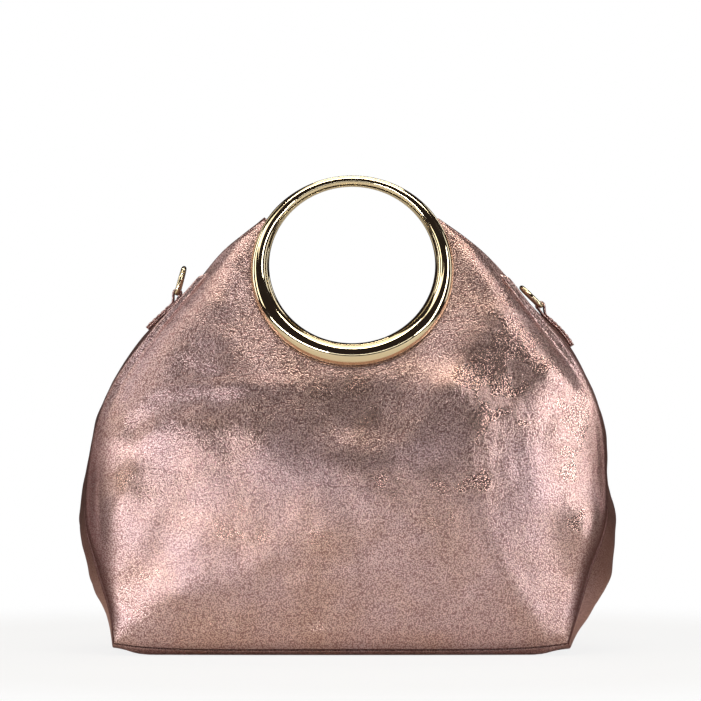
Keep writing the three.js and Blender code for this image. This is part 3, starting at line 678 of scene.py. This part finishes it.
def base_grids():
    """Outer and inner face of the base: flat, and lifted near the rim to the height of the seams."""
    along = np.linspace(-1, 1, BASE_COLUMNS)[:, None]
    across = np.linspace(-1, 1, BASE_ROWS)[None]
    along, across = np.broadcast_arrays(along, across)
    front = bottom_edge(along)
    ends = [gusset_face(side, LAST_ROW + 0 * across, across) for side in (-1, 1)]
    x = lerp(ends[0][..., 0] + SEAM_INSET, ends[1][..., 0] - SEAM_INSET, (along + 1) / 2)
    rim = np.maximum(np.abs(along), np.abs(across))
    curl = smooth(BASE_FLAT, 1, rim) ** 1.5
    end_up = np.where(along < 0, ends[0][..., 2], ends[1][..., 2])
    seam_up = np.maximum(front[..., 2] * across**6, end_up * along**6)
    half = -front[..., 1] - SEAM_INSET
    outer = np.stack([x, half * across, seam_up * curl], -1)
    inner = outer + (0, 0, LEATHER)
    long_edge = bottom_mitre(along[:, 0])
    inner[:, 0] = outer[:, 0] + long_edge
    inner[:, -1] = outer[:, -1] + long_edge * (1, -1, 1)
    inner[0] = outer[0] + foot_mitre(-1, across[0])
    inner[-1] = outer[-1] + foot_mitre(1, across[0])
    return outer, inner


outer, inner = base_grids()
base = add_wall("leather_base", outer, inner, both_faces, np.zeros(outer.shape[:2]))
rounding = base.modifiers.new("turned_rim", "BEVEL")
rounding.width = BASE_RIM * MM
rounding.segments = 3
rounding.limit_method = "ANGLE"
rounding.angle_limit = math.radians(40)
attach(base, "bag")
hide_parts("base_panel")


# Ring handles: each a round metal bar bent to a circle, thick at the bottom and slim at the grip, gold
# plated and polished. A slot in the rim of the lower part clamps the edge of the leather.
RING_STEPS = 288
# the slot's own profile: sideways from its middle, and how deep the point is cut into the bar
GROOVE_PROFILE = np.array([(-1.6, 0), (-1.35, 0.06), (-1.2, 0.3), (-1.2, 2.2), (0, 2.2),
                           (1.2, 2.2), (1.2, 0.3), (1.35, 0.06), (1.6, 0)])
BAR_SIDES = 52
GROOVE_END = math.radians(1.5)  # how far past the leather the slot begins to fade out


def ring_grid():
    """A bar of radius b - t sin(angle) round the ring's circle. Round the bar the first points follow
    the slot, whose depth fades out where the leather ends, and the others its circle."""
    angle = np.linspace(0, 2 * np.pi, RING_STEPS, endpoint=False)
    bar = (RING_BAR - RING_TAPER * np.sin(angle))[:, None]
    past = np.where(angle < math.pi / 2, angle + 2 * np.pi, angle)
    held = smooth(LEATHER_FROM - 2 * GROOVE_END, LEATHER_FROM - GROOVE_END, past) * smooth(
        LEATHER_TO + 2 * GROOVE_END, LEATHER_TO + GROOVE_END, past)
    sideways, depth = GROOVE_PROFILE.T
    in_slot = np.arcsin(sideways[None] / bar)
    first, last = in_slot[:, -1:], in_slot[:, :1] + 2 * np.pi
    on_bar = lerp(first, last, np.linspace(0, 1, BAR_SIDES + 2)[None, 1:-1])
    turn = np.concatenate([in_slot, on_bar], axis=1)
    cut = np.concatenate([depth[None] * held[:, None], 0 * on_bar], axis=1)
    radial = ring_radial(angle)[:, None]
    reach = RING_RADIUS + bar * np.cos(turn) - cut
    return RING_CENTRE + radial * reach[..., None] + RING_OUT * (bar * np.sin(turn))[..., None]


def add_tube(name, grid, finishes):
    """A closed tube: its grid wraps round in both directions."""
    number = np.arange(grid.shape[0] * grid.shape[1]).reshape(grid.shape[:2])
    number = np.pad(number, ((0, 1), (0, 1)), "wrap")
    return add_piece(name, grid.reshape(-1, 3), faces_of(number), finishes)


def polished_gold(name, colour):
    """Polished gold plating, with faint wiping marks that only show in the sharpness of reflections."""
    finish, tree, shader = new_finish(name)
    spot = wire(tree, "ShaderNodeTexCoord", {}).outputs["Object"]
    smear = wire(tree, "ShaderNodeTexNoise", {"Vector": spot, "Scale": 90.0, "Detail": 5.0})
    gloss = wire(tree, "ShaderNodeMapRange", {
        "Value": smear.outputs["Fac"], "From Min": 0.35, "From Max": 0.7, "To Min": 0.03, "To Max": 0.09})
    hair = wire(tree, "ShaderNodeTexNoise", {"Vector": spot, "Scale": 2200.0, "Detail": 2.0})
    relief = wire(tree, "ShaderNodeBump", {
        "Height": hair.outputs["Fac"], "Strength": 0.25, "Distance": 0.000004})
    tree.links.new(gloss.outputs["Result"], shader.inputs["Roughness"])
    tree.links.new(relief.outputs["Normal"], shader.inputs["Normal"])
    shader.inputs["Base Color"].default_value = colour
    shader.inputs["Metallic"].default_value = 1.0
    return finish


ring_gold = polished_gold("polished_light_gold", (0.93, 0.80, 0.53, 1))
for word, turn in (("front", 1), ("back", -1)):
    ring = add_tube(f"{word}_ring_handle", ring_grid() * (1, turn, 1), [ring_gold])
    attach(ring, "bag")
    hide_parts(f"handle_ring_{word}")


# Strap tabs: a leather strip folded round the straight bar of a D-ring and sewn down on the gusset at the
# shoulder, its two layers lying on each other and its cut edges painted dark.
TAB_WIDTH, TAB_LAYER, TAB_PLAY = 15, 1.15, 0.05  # the play is under each layer
TAB_CORNER, CORNER_STEPS = 0.45, 4  # rounding of the cut edges
TAB_STEPS, BEND_STEPS = 40, 16
TAB_ENDS = {-1: (3.75, 2.65), 1: (4.2, 3.1)}  # foot and head, as places of the edge table
EYE_HOLE, EYE_WALL = 1.8, 1.7
EYE_UP = GAP + EYE_HOLE + EYE_WALL
BEND_RADIUS = 1.65 + TAB_LAYER / 2  # the wire and a little play
TAB_RISE = 7.0  # length over which both layers climb to the eye
SHOULDER_STEP = 0.05  # in rows of the edge table, for the direction of the shoulder


def shoulder(side, place, height):
    """Points above the middle of a gusset, square to its line, and the directions out of and up it."""
    foot = gusset_face(side, place + SHOULDER_STEP, 0 * place)
    head = gusset_face(side, place - SHOULDER_STEP, 0 * place)
    uphill = unit(head - foot)
    out = np.stack([-uphill[..., 2], 0 * place, uphill[..., 0]], -1)
    out = out * np.sign(out[..., :1] * side)
    return gusset_face(side, place, 0 * place) + out * np.asarray(height)[..., None], out, uphill


def tab_path(side):
    """The strip's middle line: up the gusset, half round the bar, and back down on its own lower layer.
    Both layers rise smoothly to the eye over the last stretch."""
    low, high = TAB_ENDS[side]
    place = np.linspace(low, high, TAB_STEPS)
    eye, out, uphill = shoulder(side, np.array(high), EYE_UP)
    run = np.linalg.norm(shoulder(side, place, 0 * place)[0] - (eye - out * EYE_UP), axis=-1)
    risen = 1 - smooth(0, TAB_RISE, run)
    lower = TAB_PLAY + TAB_LAYER / 2
    upper = lower + TAB_LAYER + TAB_PLAY
    going = shoulder(side, place, lerp(lower, EYE_UP - BEND_RADIUS, risen))[0]
    coming = shoulder(side, place, lerp(upper, EYE_UP + BEND_RADIUS, risen))[0]
    turn = np.linspace(-np.pi / 2, np.pi / 2, BEND_STEPS)[1:-1, None]
    bend = eye + BEND_RADIUS * (np.cos(turn) * uphill + np.sin(turn) * out)
    return np.concatenate([going, bend, coming[::-1]])


def strip_grid(path):
    """The tab's section, a rectangle with four rounded corners, carried along a path in the XZ plane."""
    tangent = unit(np.gradient(path, axis=0))
    normal = np.stack([-tangent[:, 2], 0 * tangent[:, 0], tangent[:, 0]], -1)
    quarter = np.linspace(0, np.pi / 2, CORNER_STEPS + 1)
    turns = np.concatenate([quarter + k * np.pi / 2 for k in range(4)])
    corner_sign = np.repeat([(1, 1), (-1, 1), (-1, -1), (1, -1)], CORNER_STEPS + 1, axis=0)
    across = corner_sign[:, 0] * (TAB_WIDTH / 2 - TAB_CORNER) + TAB_CORNER * np.cos(turns)
    over = corner_sign[:, 1] * (TAB_LAYER / 2 - TAB_CORNER) + TAB_CORNER * np.sin(turns)
    return (path[:, None] + normal[:, None] * over[None, :, None]
            + np.array([0, 1.0, 0]) * across[None, :, None])


def add_strip(name, grid, finishes, finish_of_side):
    """A strip closed round its section and capped at both ends."""
    steps, sides = grid.shape[:2]
    number = np.arange(steps * sides).reshape(steps, sides)
    faces = faces_of(np.pad(number, ((0, 0), (0, 1)), "wrap"))
    caps = (number[0].tolist(), number[-1, ::-1].tolist())
    kind = np.concatenate([np.tile(finish_of_side, steps - 1), [1, 1]])
    return add_piece(name, grid.reshape(-1, 3), faces, finishes, kind, caps)


def painted_edge(name, colour, rubbed):
    """Edge paint on cut leather: a thick satin lacquer, rubbed thin here and there."""
    finish, tree, shader = new_finish(name)
    spot = wire(tree, "ShaderNodeTexCoord", {}).outputs["Object"]
    marks = wire(tree, "ShaderNodeTexNoise", {"Vector": spot, "Scale": 420.0, "Detail": 4.0})
    share = wire(tree, "ShaderNodeMapRange", {
        "Value": marks.outputs["Fac"], "From Min": 0.5, "From Max": 0.75})
    paint = wire(tree, "ShaderNodeMix", {
        "Factor": share.outputs["Result"], "A": colour, "B": rubbed}, data_type="RGBA")
    relief = wire(tree, "ShaderNodeBump", {
        "Height": marks.outputs["Fac"], "Strength": 0.6, "Distance": 0.0001})
    tree.links.new(paint.outputs["Result"], shader.inputs["Base Color"])
    tree.links.new(relief.outputs["Normal"], shader.inputs["Normal"])
    shader.inputs["Roughness"].default_value = 0.38
    return finish


edge_paint = painted_edge("dark_edge_paint", colour=(0.085, 0.024, 0.022, 1), rubbed=(0.30, 0.16, 0.14, 1))

for word, side in (("left", -1), ("right", 1)):
    grid = strip_grid(tab_path(side))
    cut_edges = np.zeros(grid.shape[1], int)
    cut_edges[[grid.shape[1] // 2 - 1, -1]] = 1
    tab = add_strip(f"{word}_strap_tab", grid, [rose_foil, edge_paint], cut_edges)
    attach(tab, "bag")
    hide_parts(f"strap_tab_{word}")


# Tab stitches: two rows of rose thread near the edges of each tab, sewn through both of its layers and
# the gusset below. Each stitch shows as a short bead that is sunk by half into the leather.
STITCH = {"pitch": 3.4, "long": 2.5, "thick": 0.32, "inset": 1.8, "from eye": 1.0}
STITCH_START = 0.06  # in rows of the edge table, below the tab's foot
STITCH_RINGS, STITCH_SIDES, STITCH_TIP = 7, 8, 0.96
THREAD_DARK, THREAD_LIGHT = (0.36, 0.20, 0.17, 1), (0.50, 0.31, 0.27, 1)


def stitch_points(side):
    """Rows of stitches along both edges of the tab: each a small bead, an ellipse along its row whose
    thickness follows a half round."""
    low, high = TAB_ENDS[side]
    fine = np.linspace(low - STITCH_START, high, 400)
    top, out, uphill = shoulder(side, fine, 2 * (TAB_LAYER + TAB_PLAY) + 0 * fine)
    run = np.concatenate([[0], np.cumsum(np.linalg.norm(np.diff(top, axis=0), axis=-1))])
    count = int((run[-1] - TAB_RISE - STITCH["from eye"]) // STITCH["pitch"])
    at = (np.arange(count) + 0.5) * STITCH["pitch"]
    centre, out, uphill = (np.stack([np.interp(at, run, line[:, k]) for k in range(3)], -1)
                           for line in (top, out, uphill))
    y = np.array([-1, 1]) * (TAB_WIDTH / 2 - STITCH["inset"])
    centre = centre[:, None] + np.array([0, 1.0, 0]) * y[None, :, None]
    along = np.linspace(-STITCH_TIP, STITCH_TIP, STITCH_RINGS)[:, None]
    turn = np.linspace(0, 2 * np.pi, STITCH_SIDES, endpoint=False)[None]
    thick = STITCH["thick"] * np.sqrt(1 - along**2)
    local = [STITCH["long"] / 2 * along + 0 * turn, thick * np.cos(turn), thick * np.sin(turn)]
    axes = [uphill[:, None] + 0 * centre, 0 * centre + (0, 1, 0), out[:, None] + 0 * centre]
    beads = sum(axis[:, :, None, None] * part[None, None, ..., None] for axis, part in zip(axes, local))
    return (centre[:, :, None, None] + beads).reshape(-1, STITCH_RINGS, STITCH_SIDES, 3)


thread, tree, shader = new_finish("rose_thread")
spot = wire(tree, "ShaderNodeTexCoord", {}).outputs["Object"]
twist = wire(tree, "ShaderNodeTexWave", {"Vector": spot, "Scale": 900.0, "Distortion": 2.0})
ply = wire(tree, "ShaderNodeMix", {
    "Factor": twist.outputs["Fac"], "A": THREAD_DARK, "B": THREAD_LIGHT}, data_type="RGBA")
tree.links.new(ply.outputs["Result"], shader.inputs["Base Color"])
shader.inputs["Roughness"].default_value = 0.6

for word, side in (("left", -1), ("right", 1)):
    beads = stitch_points(side)
    number = np.arange(beads.size // 3).reshape(beads.shape[:3])
    wrapped = np.pad(number, ((0, 0), (0, 0), (0, 1)), "wrap")
    faces = np.concatenate([faces_of(bead) for bead in wrapped])
    caps = [cap for bead in number for cap in (bead[0].tolist(), bead[-1, ::-1].tolist())]
    stitches = add_piece(f"{word}_tab_stitches", beads.reshape(-1, 3), faces, [thread], caps=caps)
    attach(stitches, "bag")


# D-rings: round gold-plated wire bent to a D, its straight bar in the fold of a tab. They turn freely on
# that bar; the left one stands up and the right one lies along the shoulder.
WIRE, HALF_BAR, BEND, LEG = 1.5, 7.0, 2.5, 3.5
WIRE_SIDES, STRAIGHT_STEPS, ROUND_STEPS, ARCH_STEPS = 22, 14, 8, 48
POINTS_TO = {-1: math.radians(75), 1: math.radians(136)}


def d_ring_grid(side):
    """A round wire carried along a bar, two rounded corners, two legs and a half-circle arch."""
    half = HALF_BAR + BEND
    bar = np.linspace(-HALF_BAR, HALF_BAR, STRAIGHT_STEPS)
    quarter = np.linspace(0, np.pi / 2, ROUND_STEPS)[1:]
    arch = np.linspace(0, np.pi, ARCH_STEPS)
    corner = np.stack([HALF_BAR + BEND * np.sin(quarter), BEND * (1 - np.cos(quarter))], -1)
    line = np.concatenate([
        np.stack([bar, 0 * bar], -1), corner,
        np.stack([half * np.cos(arch), BEND + LEG + half * np.sin(arch)], -1),
        corner[::-1] * (-1, 1)])
    eye = shoulder(side, np.array(TAB_ENDS[side][1]), EYE_UP)[0]
    pointing = np.array([math.cos(POINTS_TO[side]), 0, math.sin(POINTS_TO[side])])
    back = np.array([0, 1.0, 0])
    path = eye + line[:, :1] * back + line[:, 1:] * pointing
    tangent = unit(np.roll(path, -1, axis=0) - np.roll(path, 1, axis=0))
    level = np.cross(pointing, back)
    sideways = np.cross(tangent, level)
    turn = np.linspace(0, 2 * np.pi, WIRE_SIDES, endpoint=False)[None, :, None]
    return path[:, None] + WIRE * (np.cos(turn) * sideways[:, None] + np.sin(turn) * level)


for word, side in (("left", -1), ("right", 1)):
    d_ring = add_tube(f"{word}_strap_ring", d_ring_grid(side), [ring_gold])
    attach(d_ring, f"d_ring_{word}")
    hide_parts(f"d_ring_{word}")
